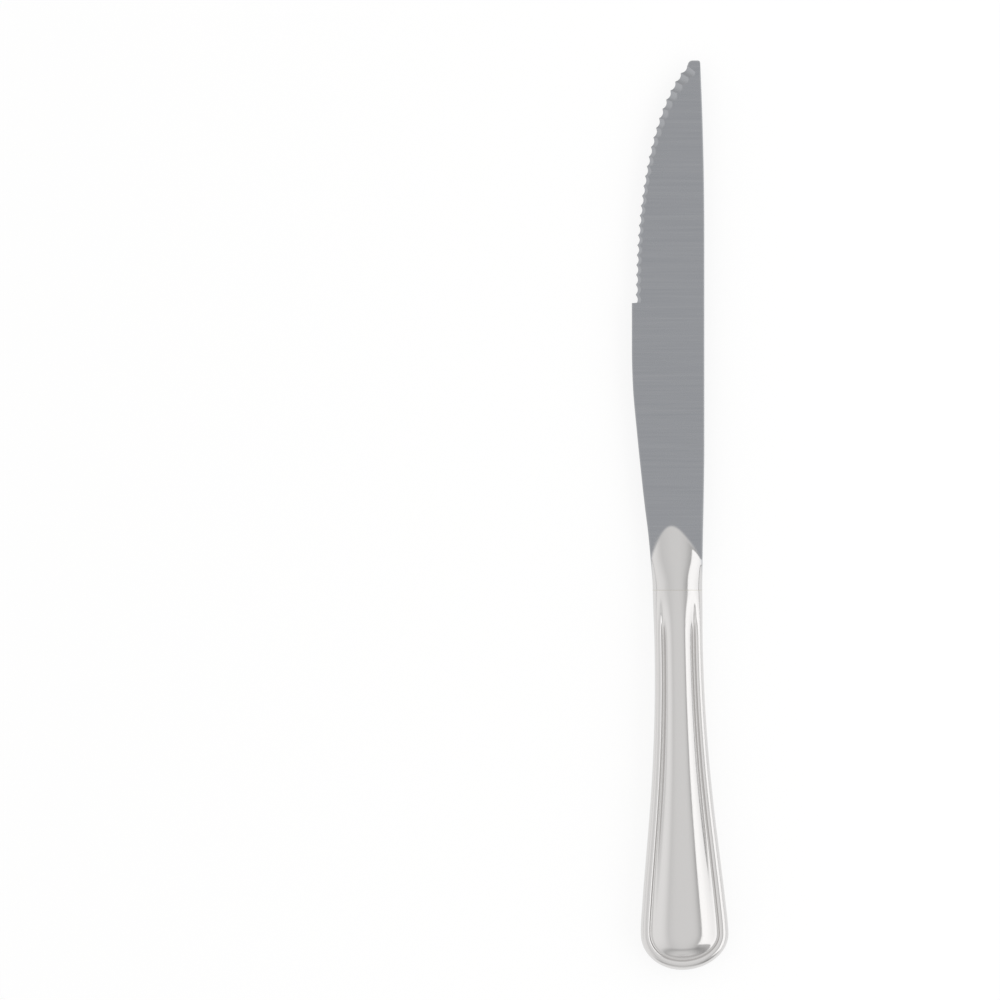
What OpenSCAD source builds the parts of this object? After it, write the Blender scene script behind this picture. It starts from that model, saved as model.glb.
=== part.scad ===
// Table knife with a hollow handle: a forged, serrated blade whose tang is cemented
// into two pressed steel shells, brazed together along their edges and to the bolster.
// Millimetres. X runs across the blade (cutting edge at -X), Y along the knife
// (tip at +Y) and Z through its thickness.

/* [Handle outline] */
// Length of the handle shells, from the butt to their mouth at the bolster
handle_length = 98.5; // [88:0.5:108]
// Width of the handle where it is widest, near the butt
butt_width = 22.8; // [19:0.1:26]
// Width of the handle at its narrowest place
neck_width = 12.6; // [11:0.1:14]
// Width of the shells' mouth
mouth_width = 12.9; // [11.5:0.1:14.5]
// Length of the rounded end, from the butt to the widest place
butt_round = 9.4; // [7:0.1:12]
// Distance from the mouth back to the narrowest place
neck_back = 14; // [10:0.5:20]
// How far the butt stands off the mouth's centre line, towards the spine
butt_offset = 2.05; // [0:0.05:4]

/* [Handle section] */
// Thickness of the handle over the domed panels, where it is thickest
butt_thickness = 9.4; // [8:0.1:11]
// Thickness over the panels at the narrowest place
neck_thickness = 7.2; // [6.4:0.1:8]
// Thickness of the oval mouth
mouth_thickness = 7.4; // [6.6:0.1:8.4]
// Thickness over the raised border near the butt
butt_border_thickness = 5.4; // [4.6:0.1:6]
// Thickness over the raised border at the neck
neck_border_thickness = 4.9; // [4.2:0.1:5.3]
// Width of the raised border near the butt
butt_border = 2.9; // [2.5:0.1:3.4]
// Width of the raised border at the neck
neck_border = 2.4; // [2.1:0.1:2.7]
// Depth of the groove between the border and the panel
groove_depth = 0.5; // [0.3:0.05:0.7]
// Distance back from the mouth over which the border grows out of the plain oval
border_fade = 13; // [8:0.5:20]
// Wall of the pressed shells
shell_wall = 0.85; // [0.6:0.05:0.95]
// Thickness of the braze in the seam between the shells
seam_film = 0.12; // [0.06:0.02:0.2]

/* [Blade outline] */
// Length of the blade and bolster, from the shells' mouth to the tip
blade_length = 137.5; // [125:0.5:150]
// Distance of the straight spine from the mouth's centre line
spine_reach = 6.97; // [6:0.05:8]
// Distance of the plain heel's edge from the mouth's centre line
heel_reach = 11.84; // [10:0.02:14]
// Distance from the mouth to where the heel is deepest
heel_rise = 63.5; // [55:0.5:68]
// Distance from the mouth to where the spine has come out to its full reach
spine_rise = 38; // [30:0.5:48]
// Length of the curve that lowers the spine towards the tip
spine_fall = 46; // [30:0.5:60]
// How far the spine comes down at the tip
spine_drop = 1.1; // [0.4:0.05:2]
// Width of the blunt tip
tip_width = 3.2; // [2.6:0.1:4.5]
// Radius of the tip's corner on the edge side
tip_edge_radius = 1.2; // [0.8:0.05:1.6]
// Radius of the tip's corner at the spine
tip_spine_radius = 0.6; // [0.3:0.05:1]

/* [Blade section] */
// Thickness of the spine where it leaves the bolster
spine_thickness = 2.4; // [2:0.05:2.8]
// Thickness of the spine at the tip
tip_thickness = 1.5; // [1.3:0.05:1.8]
// Thickness of the plain heel's edge
edge_thickness = 0.75; // [0.6:0.05:1]

/* [Serrations] */
// Distance from the mouth to the step at the end of the plain heel, where the serrations start
serration_start = 74.6; // [70:0.1:85]
// Distance from that step to the middle of the first scallop
first_scallop = 0.85; // [0.6:0.05:1.2]
// How far the tooth points lie inside the plain heel's edge
tooth_setback = 1.02; // [0.6:0.01:1.3]
// Distance from tooth to tooth along the edge
tooth_pitch = 2.57; // [2:0.01:3.6]
// Depth of the scallops between the teeth
tooth_depth = 0.5; // [0.4:0.02:0.8]
// Width of the blunt land left at each tooth's point
tooth_land = 0.12; // [0.06:0.02:0.3]
// Angle between a ground flute and the blade's mid plane
flute_angle = 25; // [18:1:35]

/* [Bolster and tang] */
// Distance from the mouth over which the bolster keeps the handle's full outline
bolster_collar = 6.5; // [4:0.1:10]
// Length over which the bolster dies away into the blade
bolster_fade = 15; // [10:0.5:20]
// Thickness of the braze between the bolster's shoulder and the shells
shoulder_film = 0.12; // [0.06:0.02:0.2]
// Length of the tang inside the handle
tang_length = 46; // [36:0.5:54]
// Width of the tang at the shoulder
tang_root_width = 6.6; // [5.6:0.1:7.4]
// Width of the tang at its end
tang_end_width = 4.4; // [3.6:0.1:5.2]
// Thickness of the tang
tang_thickness = 2.8; // [2.2:0.1:3.2]
// Depth of the keying notches in the tang's sides
tang_notch = 0.8; // [0.4:0.05:1]
// Length of each keying notch
tang_notch_length = 3.2; // [2:0.1:4]

/* [Cement] */
// How far the cement core that fills the front of the handle goes past the tang's end
cement_past_tang = 8; // [4:0.5:14]
// Clearance between the cement and the metal round it
cement_clearance = 0.04; // [0.02:0.01:0.08]

/* [Hidden] */

// Places along the knife, counted from the butt end
widest_y = butt_round;
mouth_y = handle_length;
neck_y = mouth_y - neck_back;
shoulder_y = mouth_y + shoulder_film;
tip_y = mouth_y + blade_length;
heel_y = mouth_y + heel_rise;
tooth_start_y = mouth_y + serration_start;
overrun = shell_wall;

// How the handle narrows from its widest place to the neck: [share of the way, share of the swell left]
swell_shares = [[0, 1], [0.12, 0.87], [0.28, 0.63], [0.44, 0.39], [0.6, 0.2], [0.8, 0.05], [1, 0]];
// The same for the thickness over the panels and over the border
thickness_shares = [[0, 0.94], [0.16, 1], [0.45, 0.66], [0.75, 0.2], [1, 0]];
// How the plain edge runs out from the mouth to the heel: [share of the way, share of the depth]
heel_shares = [[0, 0], [0.11, 0.08], [0.23, 0.21], [0.36, 0.4], [0.5, 0.58], [0.65, 0.76], [0.82, 0.94], [1, 1]];
// How the bolster thins towards the blade: [share of the way, share of the mouth's thickness]
bolster_thickness_shares = [[0, 1], [0.12, 0.97], [0.35, 0.66], [0.6, 0.34], [0.8, 0.2], [1, 0.1]];
// Share of the bolster's outline that is left at its hidden front end
bolster_end_share = 0.45;
// Where the blade's blank starts inside the bolster and where it reaches the full outline, as shares
// of the collar
blank_back_share = 0.5;
blank_full_share = 1.15;
// Room left between the last scallop and the tip's corner, as a share of the pitch
last_tooth_share = 0.33;
// Rows of the handle section across the border's inner slope: [share of the way in, share of the groove's depth]
slope_shares = [[0.3, 0.22], [0.62, 0.78], [0.85, 1], [1, 1]];
// Place of the border's crest, as a share of its width
crest_share = 0.66;
// Power of the rounded quarter oval from the seam to the crest
border_power = 2.4;
// Rows of the handle section across the panel, as shares of the way from the groove to the centre
panel_shares = [0.06, 0.15, 0.28, 0.45, 0.68, 1];
// Power that sets how full the domed panel is
panel_power = 3.4;
// Rows to each side that the direction into the metal is averaged over
inward_rows = 2;
// Power and length share of the belly curve that the tooth points lie on
belly_power = 2.16;
belly_length_share = 1.043;
// Places of the tang's keying notches, as shares of its length
notch_shares = [0.35, 0.62];

// Steps of the lofted surfaces
side_steps = 25;
butt_steps = 16;
border_steps = 5;
bolster_steps = 14;
bolster_sides = 40;
core_steps = 12;
outline_steps = 30;
flute_sides = 72;
flute_passes = 3;
corner_steps = 6;

// Place of x in a table of [place, value] pairs
function table_row(table, x, i = 0) =
    (i >= len(table) - 2 || x <= table[i + 1][0]) ? i : table_row(table, x, i + 1);

// Slope of the smooth curve at row i, level at both ends of the table and at its peaks
function table_slope(table, i) =
    (i == 0 || i == len(table) - 1) ? 0
    : (table[i + 1][1] - table[i][1]) * (table[i][1] - table[i - 1][1]) <= 0 ? 0
    : (table[i + 1][1] - table[i - 1][1]) / (table[i + 1][0] - table[i - 1][0]);

// Smooth curve through a table's points
function curve(table, x) =
    let (
        i = table_row(table, x),
        step = table[i + 1][0] - table[i][0],
        u = min(1, max(0, (x - table[i][0]) / step)),
        rise = table[i + 1][1] - table[i][1],
        in_slope = table_slope(table, i) * step,
        out_slope = table_slope(table, i + 1) * step
    )
    table[i][1] + in_slope * u
    + (3 * rise - 2 * in_slope - out_slope) * u * u
    + (in_slope + out_slope - 2 * rise) * u * u * u;

// Level at both ends, from nought to one
function ease(u) = let (v = min(1, max(0, u))) v * v * (3 - 2 * v);

// A value that is a at the neck and follows the shares up to b at the butt
function towards_butt(shares, a, b, y) = a + (b - a) * curve(shares, (y - widest_y) / (neck_y - widest_y));

// Handle measures at a distance y from the butt end. The rounded end is turned a little so that
// it stays square to the handle's leaning axis.
function handle_axis_x(y) = butt_offset * (mouth_y - y) / mouth_y;
function half_width(y) =
    y < neck_y ? towards_butt(swell_shares, neck_width, butt_width, y) / 2
    : (neck_width + (mouth_width - neck_width) * ease((y - neck_y) / neck_back)) / 2;
function panel_height(y) =
    (y < neck_y ? towards_butt(thickness_shares, neck_thickness, butt_thickness, y)
    : neck_thickness + (mouth_thickness - neck_thickness) * ease((y - neck_y) / neck_back)) / 2 - seam_film / 2;
function border_height(y) =
    (y < neck_y ? towards_butt(thickness_shares, neck_border_thickness, butt_border_thickness, y)
    : neck_border_thickness) / 2 - seam_film / 2;
function border_width(y) =
    y < neck_y ? towards_butt(swell_shares, neck_border, butt_border, y) : neck_border;
function border_share(y) = ease((mouth_y - y) / border_fade);

// A station is [outline point, centre point, place along the knife]. Sections of the handle
// run inwards from the outline point to the centre point.
function side_station(side, y) =
    [[handle_axis_x(y) + side * half_width(y), y], [handle_axis_x(y), y], y];
function butt_station(angle) =
    [
        [
            handle_axis_x(widest_y) + half_width(widest_y) * sin(angle),
            widest_y - butt_round * cos(angle) + butt_offset / mouth_y * half_width(widest_y) * sin(2 * angle)
        ],
        [handle_axis_x(widest_y), widest_y],
        widest_y
    ];
function station_reach(station) = norm(station[0] - station[1]);

// Height of the plain oval at a distance in from the outline
function oval_height(inset, reach, height) = height * sqrt(max(0, 1 - pow(1 - inset / reach, 2)));

// Outer section at a station, as [distance in from the outline, height above the seam]: a rounded
// border, its inner slope, the groove and the domed panel, which fade to a plain oval at the mouth
function section(station) =
    let (
        y = station[2],
        reach = station_reach(station),
        border = border_width(y),
        crest = border * crest_share,
        rim = border_height(y),
        groove = rim - groove_depth,
        panel = panel_height(y),
        shown = border_share(y),
        pattern = concat(
            [for (k = [0:border_steps])
                let (a = 90 * k / border_steps)
                [crest * (1 - pow(cos(a), 2 / border_power)), rim * pow(sin(a), 2 / border_power)]],
            [for (row = slope_shares) [crest + (border - crest) * row[0], rim - groove_depth * row[1]]],
            [for (s = panel_shares)
                [border + (reach - border) * s, groove + (panel - groove) * (1 - pow(1 - s, panel_power))]]
        )
    )
    [for (p = pattern) [p[0], shown * p[1] + (1 - shown) * oval_height(p[0], reach, panel)]];

// Direction into the metal at row j of a section
function inward(row, j) =
    j == 0 ? [1, 0]
    : j == len(row) - 1 ? [0, -1]
    : let (t = row[min(len(row) - 1, j + inward_rows)] - row[max(0, j - inward_rows)]) [t[1], -t[0]] / norm(t);

// Section that lies a depth under the outer one
function inner_section(station, depth) =
    let (row = section(station)) [for (j = [0:len(row) - 1]) row[j] + depth * inward(row, j)];

// Point in space of a section's row
function section_point(station, p) =
    let (flat = station[0] + (station[1] - station[0]) * p[0] / station_reach(station))
    [flat[0], flat[1], p[1] + seam_film / 2];

stations = concat(
    [for (i = [0:side_steps - 1]) side_station(1, mouth_y + (widest_y - mouth_y) * i / side_steps)],
    [for (i = [0:butt_steps]) butt_station(90 - 180 * i / butt_steps)],
    [for (i = [1:side_steps]) side_station(-1, widest_y + (mouth_y - widest_y) * i / side_steps)]
);
station_count = len(stations);
row_count = len(section(stations[0]));

// Number of a station's centre point: the two sides share theirs, and the butt has one
function centre_number(i) = min(i, station_count - 1 - i, side_steps);

// Points of one surface of a shell: all rows but the centre ones, then the centre points
function surface_points(depth) = concat(
    [for (s = stations) let (row = inner_section(s, depth)) for (j = [0:row_count - 2]) section_point(s, row[j])],
    [for (i = [0:side_steps])
        let (row = inner_section(stations[i], depth)) section_point(stations[i], row[row_count - 1])]
);
surface_size = station_count * (row_count - 1) + side_steps + 1;

// Number of the point at station i and row j of a surface
function point_number(i, j) =
    j < row_count - 1 ? i * (row_count - 1) + j : station_count * (row_count - 1) + centre_number(i);

// A four-sided face as two triangles, without those that have no area
function face_pair(a, b, c, d) = concat(
    a == b || b == c || c == a ? [] : [[a, b, c]],
    a == c || c == d || d == a ? [] : [[a, c, d]]
);

function surface_faces(first, flip) = [
    for (i = [0:station_count - 2], j = [0:row_count - 2])
        for (f = face_pair(point_number(i, j), point_number(i, j + 1),
            point_number(i + 1, j + 1), point_number(i + 1, j)))
            [for (k = flip ? [2, 1, 0] : [0, 1, 2]) f[k] + first]
];

// Faces that join the outer surface to the inner one along the seam and at the mouth
function rim_faces() = concat(
    [for (i = [0:station_count - 2])
        for (f = face_pair(point_number(i, 0), point_number(i + 1, 0),
            point_number(i + 1, 0) + surface_size, point_number(i, 0) + surface_size)) f],
    [for (i = [0, station_count - 1], j = [0:row_count - 2])
        for (f = face_pair(point_number(i, j), point_number(i, j) + surface_size,
            point_number(i, j + 1) + surface_size, point_number(i, j + 1)))
            i == 0 ? f : [f[2], f[1], f[0]]]
);

// One pressed shell, above the seam
module shell() {
    polyhedron(
        points = concat(surface_points(0), surface_points(shell_wall)),
        faces = concat(surface_faces(0, false), surface_faces(surface_size, true), rim_faces())
    );
}

// Half section of the handle at y seen whole: the upper rows from side to side, then the lower ones
function ring(y, depth) =
    let (
        upper = concat(
            [for (j = [0:row_count - 1])
                let (s = side_station(1, y)) section_point(s, inner_section(s, depth)[j])],
            [for (j = [row_count - 2:-1:0])
                let (s = side_station(-1, y)) section_point(s, inner_section(s, depth)[j])]
        )
    )
    concat(upper, [for (k = [len(upper) - 1:-1:0]) [upper[k][0], upper[k][1], -upper[k][2]]]);

// Closed body through a list of rings with the same number of points
module loft(rings) {
    count = len(rings[0]);
    last = len(rings) - 1;
    polyhedron(
        points = [for (r = rings) for (p = r) p],
        faces = concat(
            [[for (k = [count - 1:-1:0]) k]],
            [[for (k = [0:count - 1]) last * count + k]],
            [for (i = [0:last - 1], k = [0:count - 1])
                let (n = (k + 1) % count)
                for (f = [[i * count + k, i * count + n, (i + 1) * count + n],
                    [i * count + k, (i + 1) * count + n, (i + 1) * count + k]]) f]
        )
    );
}

// Edge and spine of the blade as distances from the mouth's centre line
function plain_edge_x(y) = -mouth_width / 2 - (heel_reach - mouth_width / 2) * curve(heel_shares, (y - mouth_y) / heel_rise);
function spine_x(y) =
    mouth_width / 2 + (spine_reach - mouth_width / 2) * ease((y - mouth_y) / spine_rise)
    - spine_drop * pow(max(0, 1 - (tip_y - y) / spine_fall), 2);

// The tooth points lie on a belly curve, part of a rounded quarter oval, that ends at the tip's corner
tooth_x = tooth_setback - heel_reach;
tip_corner_y = tip_y - tip_edge_radius;
tip_corner_x = spine_x(tip_y) - tip_width;
belly_length = (tip_y - tooth_start_y) * belly_length_share;
function belly_rise(y) = 1 - pow(1 - pow((y - tooth_start_y) / belly_length, belly_power), 1 / belly_power);
belly_depth = (tip_corner_x - tooth_x) / belly_rise(tip_corner_y);
function belly_x(y) = tooth_x + belly_depth * belly_rise(y);
function belly_slope(y) =
    let (u = (y - tooth_start_y) / belly_length)
    belly_depth / belly_length * pow(u, belly_power - 1) * pow(1 - pow(u, belly_power), 1 / belly_power - 1);

// Places of the scallops, one pitch apart along the belly curve
function scallop_places(y) =
    y > tip_corner_y - tooth_pitch * last_tooth_share ? []
    : concat([y], scallop_places(y + tooth_pitch * cos(atan(belly_slope(y)))));
scallops = scallop_places(tooth_start_y + first_scallop);

// The blade's flat ground sides: half its thickness at a place on it
side_fall = (spine_thickness - edge_thickness) / 2 / (spine_reach + heel_reach);
tip_fall = (spine_thickness - tip_thickness) / 2 / (tip_y - shoulder_y);
function half_thickness(x, y) = spine_thickness / 2 - side_fall * (spine_reach - x) - tip_fall * (y - shoulder_y);

// Outline of the blade. Its rear end is hidden inside the bolster.
blank_y = mouth_y + bolster_collar * blank_full_share;
blank_back_y = mouth_y + bolster_collar * blank_back_share;
blank_inset = neck_border / 2;
module blade_outline() {
    polygon(concat(
        [[plain_edge_x(blank_back_y) + blank_inset, blank_back_y]],
        [for (i = [0:outline_steps]) let (y = blank_y + (heel_y - blank_y) * i / outline_steps) [plain_edge_x(y), y]],
        [[-heel_reach, tooth_start_y]],
        [for (i = [0:outline_steps])
            let (y = tooth_start_y + (tip_corner_y - tooth_start_y) * sin(90 * i / outline_steps)) [belly_x(y), y]],
        [for (i = [1:corner_steps])
            let (a = 90 * i / corner_steps)
            [tip_corner_x + tip_edge_radius * (1 - cos(a)), tip_corner_y + tip_edge_radius * sin(a)]],
        [for (i = [0:corner_steps])
            let (a = 90 * i / corner_steps)
            [spine_x(tip_y - tip_spine_radius) - tip_spine_radius * (1 - sin(a)),
                tip_y - tip_spine_radius * (1 - cos(a))]],
        [for (i = [1:outline_steps])
            let (y = tip_y - tip_spine_radius + (blank_y - tip_y + tip_spine_radius) * i / outline_steps)
            [spine_x(y), y]],
        [[spine_x(blank_back_y) - blank_inset, blank_back_y]]
    ));
}

// Everything above one ground side of the blade
module ground_off() {
    steepness = norm([1, side_fall, tip_fall]);
    reach = blade_length + butt_width;
    translate([spine_reach, shoulder_y, spine_thickness / 2])
        rotate([asin(-tip_fall / steepness), -atan(side_fall), 0])
            translate([-reach, -reach, 0])
                cube([2 * reach, 2 * reach, spine_thickness]);
}

// The flutes are ground into the upper side. Each one cuts through at the edge, and its lowest
// line meets the lower side a tooth's depth in from the belly curve.
flute_sag = tooth_depth * sin(flute_angle);
flute_chord = tooth_pitch - tooth_land;
flute_radius = (flute_chord * flute_chord / 4 + flute_sag * flute_sag) / (2 * flute_sag);
flute_length = 6 * tooth_pitch;
module flute(y) {
    turn = -atan(belly_slope(y));
    x = belly_x(y) + tooth_depth * cos(turn);
    low_y = y + tooth_depth * sin(turn);
    translate([x, low_y, -half_thickness(x, low_y)])
        rotate([0, 0, turn])
            rotate([0, 90 - flute_angle, 0])
                translate([-flute_radius, 0, 0])
                    cylinder(h = flute_length, r = flute_radius, center = true, $fn = flute_sides);
}

// The blade before its flutes are ground
module blank() {
    difference() {
        linear_extrude(height = 2 * spine_thickness, center = true) blade_outline();
        ground_off();
        mirror([0, 0, 1]) ground_off();
    }
}

// The plain heel, which the first flute stops against in a square step
module plain_heel() {
    translate([-2 * heel_reach, mouth_y, -2 * spine_thickness])
        cube([4 * heel_reach, serration_start, 4 * spine_thickness]);
}

// The flutes are ground in passes. The flutes of one pass are some pitches apart, so that they stand
// clear of each other.
module ground_blade(pass = flute_passes - 1) {
    if (pass < 0) blank();
    else difference() {
        ground_blade(pass - 1);
        difference() {
            for (k = [pass:flute_passes:len(scallops) - 1]) flute(scallops[k]);
            plain_heel();
        }
    }
}

// Oval section of the bolster at a distance from the mouth: it keeps the knife's outline as far as
// the collar goes, and then shrinks into the blade
bolster_end_y = mouth_y + bolster_collar + bolster_fade;
function bolster_ring(y) =
    let (
        left = plain_edge_x(y),
        right = spine_x(y),
        kept = 1 - (1 - bolster_end_share) * ease((y - mouth_y - bolster_collar) / bolster_fade),
        a = (right - left) / 2 * kept,
        b = mouth_thickness / 2 * curve(bolster_thickness_shares, (y - mouth_y) / (bolster_end_y - mouth_y))
    )
    [for (k = [0:bolster_sides - 1])
        let (t = 360 * k / bolster_sides) [(left + right) / 2 + a * cos(t), y, b * sin(t)]];
module bolster() {
    loft([for (i = [0:bolster_steps]) bolster_ring(shoulder_y + (bolster_end_y - shoulder_y) * i / bolster_steps)]);
}

// The tang follows the handle's own axis. A clearance widens it on every side for the cement.
module tang(clearance, front) {
    end_y = mouth_y - tang_length;
    notch_half = tang_notch_length / 2;
    linear_extrude(height = tang_thickness + 2 * clearance, center = true)
        difference() {
            polygon([
                [-tang_root_width / 2 - clearance, front],
                [handle_axis_x(end_y) - tang_end_width / 2 - clearance, end_y - clearance],
                [handle_axis_x(end_y) + tang_end_width / 2 + clearance, end_y - clearance],
                [tang_root_width / 2 + clearance, front]
            ]);
            for (s = notch_shares, side = [-1, 1])
                let (
                    y = mouth_y - s * tang_length,
                    half = (tang_root_width + (tang_end_width - tang_root_width) * s) / 2
                )
                translate([handle_axis_x(y) + side * half, y])
                    square([2 * (tang_notch - clearance), 2 * (notch_half - clearance)], center = true);
        }
}

// Puts the knife's middle over the origin and its lowest point on the ground plane
module placed() {
    middle_x = (handle_axis_x(widest_y) + butt_width / 2 - heel_reach) / 2;
    translate([-middle_x, -tip_y / 2, butt_thickness / 2])
        children();
}

// Forged in one piece: ground blade with scalloped edge, oval bolster, and tang
module blade() {
    color("lightgray")
        placed() {
            ground_blade();
            bolster();
            tang(0, shoulder_y + overrun);
        }
}

// The shell that shows when the knife lies with its edge to the left
module handle_left_shell() {
    color("silver")
        placed()
            shell();
}

// The shell underneath, a mirror image of the other
module handle_right_shell() {
    color("silver")
        placed()
            mirror([0, 0, 1])
                shell();
}

// Braze that fills the seam between the two shells, all the way round from mouth to mouth
module seam_braze() {
    color("darkkhaki")
        placed()
            linear_extrude(height = seam_film, center = true)
                polygon(concat(
                    [for (s = stations) s[0]],
                    [for (i = [station_count - 1:-1:0])
                        let (p = section_point(stations[i], [shell_wall, 0])) [p[0], p[1]]]
                ));
}

// Braze between the shells' mouth and the bolster's shoulder
module shoulder_braze() {
    color("darkkhaki")
        placed()
            translate([0, shoulder_y, 0])
                rotate([90, 0, 0])
                    linear_extrude(height = shoulder_film)
                        difference() {
                            polygon([for (p = ring(mouth_y, 0)) [p[0], p[2]]]);
                            polygon([for (p = ring(mouth_y, shell_wall)) [p[0], p[2]]]);
                        }
}

// Cement that fills the front of the handle and grips the tang
module tang_cement() {
    core_depth = shell_wall + cement_clearance;
    core_length = tang_length + cement_past_tang;
    color("tan")
        placed()
            difference() {
                loft([for (i = [0:core_steps]) ring(mouth_y - core_length * (1 - i / core_steps), core_depth)]);
                tang(cement_clearance, mouth_y + overrun);
            }
}

blade();
handle_left_shell();
handle_right_shell();
seam_braze();
shoulder_braze();
tang_cement();
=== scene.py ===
import bpy
import numpy as np
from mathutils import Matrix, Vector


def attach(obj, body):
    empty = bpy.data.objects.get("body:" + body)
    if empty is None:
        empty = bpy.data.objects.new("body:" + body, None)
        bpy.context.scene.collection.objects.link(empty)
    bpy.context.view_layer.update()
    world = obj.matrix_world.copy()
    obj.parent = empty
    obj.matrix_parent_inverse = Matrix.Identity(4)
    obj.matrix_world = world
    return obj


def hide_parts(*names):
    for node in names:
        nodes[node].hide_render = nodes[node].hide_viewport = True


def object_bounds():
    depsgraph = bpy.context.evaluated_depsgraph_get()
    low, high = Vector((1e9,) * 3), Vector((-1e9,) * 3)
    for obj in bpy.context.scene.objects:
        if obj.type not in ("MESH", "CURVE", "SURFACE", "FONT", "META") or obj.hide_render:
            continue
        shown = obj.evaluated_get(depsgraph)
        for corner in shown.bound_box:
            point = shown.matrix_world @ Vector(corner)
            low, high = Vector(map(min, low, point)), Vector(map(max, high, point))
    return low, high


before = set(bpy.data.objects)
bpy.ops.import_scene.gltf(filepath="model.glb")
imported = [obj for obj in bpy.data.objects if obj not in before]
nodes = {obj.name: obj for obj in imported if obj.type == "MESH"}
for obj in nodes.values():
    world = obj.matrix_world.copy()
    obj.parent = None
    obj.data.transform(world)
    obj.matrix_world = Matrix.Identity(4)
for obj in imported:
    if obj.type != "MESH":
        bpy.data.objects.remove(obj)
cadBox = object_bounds()
print("stage 1: frame loaded,", len(nodes), "solids")

# Sizes that the pieces share. All shapes are worked out in millimetres, with Y counted from the butt
# end, and moved into the frame (metres, middle of the knife over the origin) with their mesh.
knife = {
    "handleLength": 98.5,  # from the butt to the shells' mouth
    "bladeLength": 137.5,  # from the mouth to the tip
    "buttWidth": 22.8,
    "neckWidth": 12.6,
    "mouthWidth": 12.9,
    "buttRound": 9.4,  # length of the rounded end
    "neckBack": 14.0,  # from the mouth to the narrowest place
    "buttOffset": 2.05,  # from the mouth's centre line to the middle of the butt
    "buttThickness": 9.4,
    "neckThickness": 7.2,
    "mouthThickness": 7.4,
    "heelReach": 11.84,  # from the mouth's centre line to the plain heel's edge
    "shoulderFilm": 0.12,  # braze at the mouth
    "seamFilm": 0.12,  # braze between the shells
}
mouthY = knife["handleLength"]
widestY = knife["buttRound"]
neckY = mouthY - knife["neckBack"]
shoulderY = mouthY + knife["shoulderFilm"]
tipY = mouthY + knife["bladeLength"]
seamHalf = knife["seamFilm"] / 2
buttSpineX = knife["buttOffset"] * (mouthY - widestY) / mouthY + knife["buttWidth"] / 2
middleX = (buttSpineX - knife["heelReach"]) / 2
frameShift = np.array([-middleX, -tipY / 2, knife["buttThickness"] / 2])
mmPerMetre = 1000.0
weldSteps = 1e8  # steps to the metre that points are rounded to before equal ones are joined
sharpAngle = 32.0  # edges that turn by more stay crisp
leastFillet = 1e-6


# level at both ends: 3u^2 - 2u^3 between nought and one
def ease(u):
    v = np.clip(u, 0.0, 1.0)
    return v * v * (3 - 2 * v)


# smooth curve through [place, value] rows: a cubic per span, level at the ends and at peaks,
# otherwise with the slope of the line through the two neighbours
def smoothCurve(rows, x):
    place, value = np.array(rows, float).T
    rise = np.diff(value)
    slope = np.zeros(len(value))
    inner = (value[2:] - value[:-2]) / (place[2:] - place[:-2])
    slope[1:-1] = np.where(rise[1:] * rise[:-1] <= 0, 0.0, inner)
    x = np.clip(np.asarray(x, float), place[0], place[-1])
    i = np.clip(np.searchsorted(place, x, side="right") - 1, 0, len(place) - 2)
    span = place[i + 1] - place[i]
    u = (x - place[i]) / span
    a, b = slope[i] * span, slope[i + 1] * span
    return value[i] + a * u + (3 * rise[i] - 2 * a - b) * u**2 + (a + b - 2 * rise[i]) * u**3


# bell-shaped mark round a middle: exp(-((x - middle) / width)^2)
def bell(x, middle, width):
    return np.exp(-((x - middle) / width) ** 2)


# larger of two heights, with a fillet where they differ by less than k: max + (k - |a - b|)^2 / 4k
def filletMax(a, b, k):
    near = np.maximum(k - np.abs(a - b), 0)
    return np.maximum(a, b) + near**2 / (4 * np.maximum(k, leastFillet))


def join(*parts, axis=0):
    return np.concatenate(parts, axis)


# distance from each point of the outline to its point of the centre line
def fanReach(outline, centre):
    return np.linalg.norm(outline - centre, axis=1)[:, None]


# points at an inset from the outline: outline + (centre - outline) inset / reach
def fanPoints(outline, centre, inset, reach):
    return outline[:, None] + (centre - outline)[:, None] * (inset / reach)[..., None]


# flat points and their heights as one list of [x, y, z]
def withHeight(flat, height):
    return join(flat, height[..., None], axis=-1).reshape(-1, 3)


# numbers of the points of two grids of one size, the second after the first
def gridPair(count, rows):
    number = np.arange(count * rows).reshape(count, rows)
    return number, number + count * rows


# two triangles for each cell of a grid of point numbers
def gridFaces(number, flip=False):
    a, b, c, d = number[:-1, :-1], number[1:, :-1], number[1:, 1:], number[:-1, 1:]
    faces = join(*[np.stack(corners, -1).reshape(-1, 3) for corners in ([a, b, c], [a, c, d])])
    return faces[:, ::-1] if flip else faces


# strips that join the first and the last rows of two grids
def endFaces(number, under):
    first, last = [np.stack([number[i], under[i]], 0) for i in (0, -1)]
    return join(gridFaces(first), gridFaces(last, flip=True))


# Rings of points, one in each row of the array, joined into a closed body: where it doesn't run
# round in a circle its ends are closed by a fan to their middle
def ringFaces(rings, closed):
    count, size = rings.shape[:2]
    number = gridPair(count, size)[0]
    number = join(number, number[:, :1], axis=1)
    if closed:
        return rings.reshape(-1, 3), gridFaces(join(number, number[:1]))
    middles = rings[[0, -1]].mean(axis=1)
    first, last = count * size, count * size + 1
    caps = [np.stack([np.full(size, first), number[0, 1:], number[0, :-1]], -1),
            np.stack([np.full(size, last), number[-1, :-1], number[-1, 1:]], -1)]
    points = join(rings.reshape(-1, 3), middles)
    return points, join(gridFaces(number, flip=True), *caps)


# millimetre points moved into the frame and kept inside the solids' box
def intoFrame(points):
    moved = (points + frameShift) / mmPerMetre
    return np.clip(moved, np.array(cadBox[0]), np.array(cadBox[1]))


def addObject(name, data):
    made = bpy.data.objects.new(name, data)
    bpy.context.scene.collection.objects.link(made)
    return made


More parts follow.
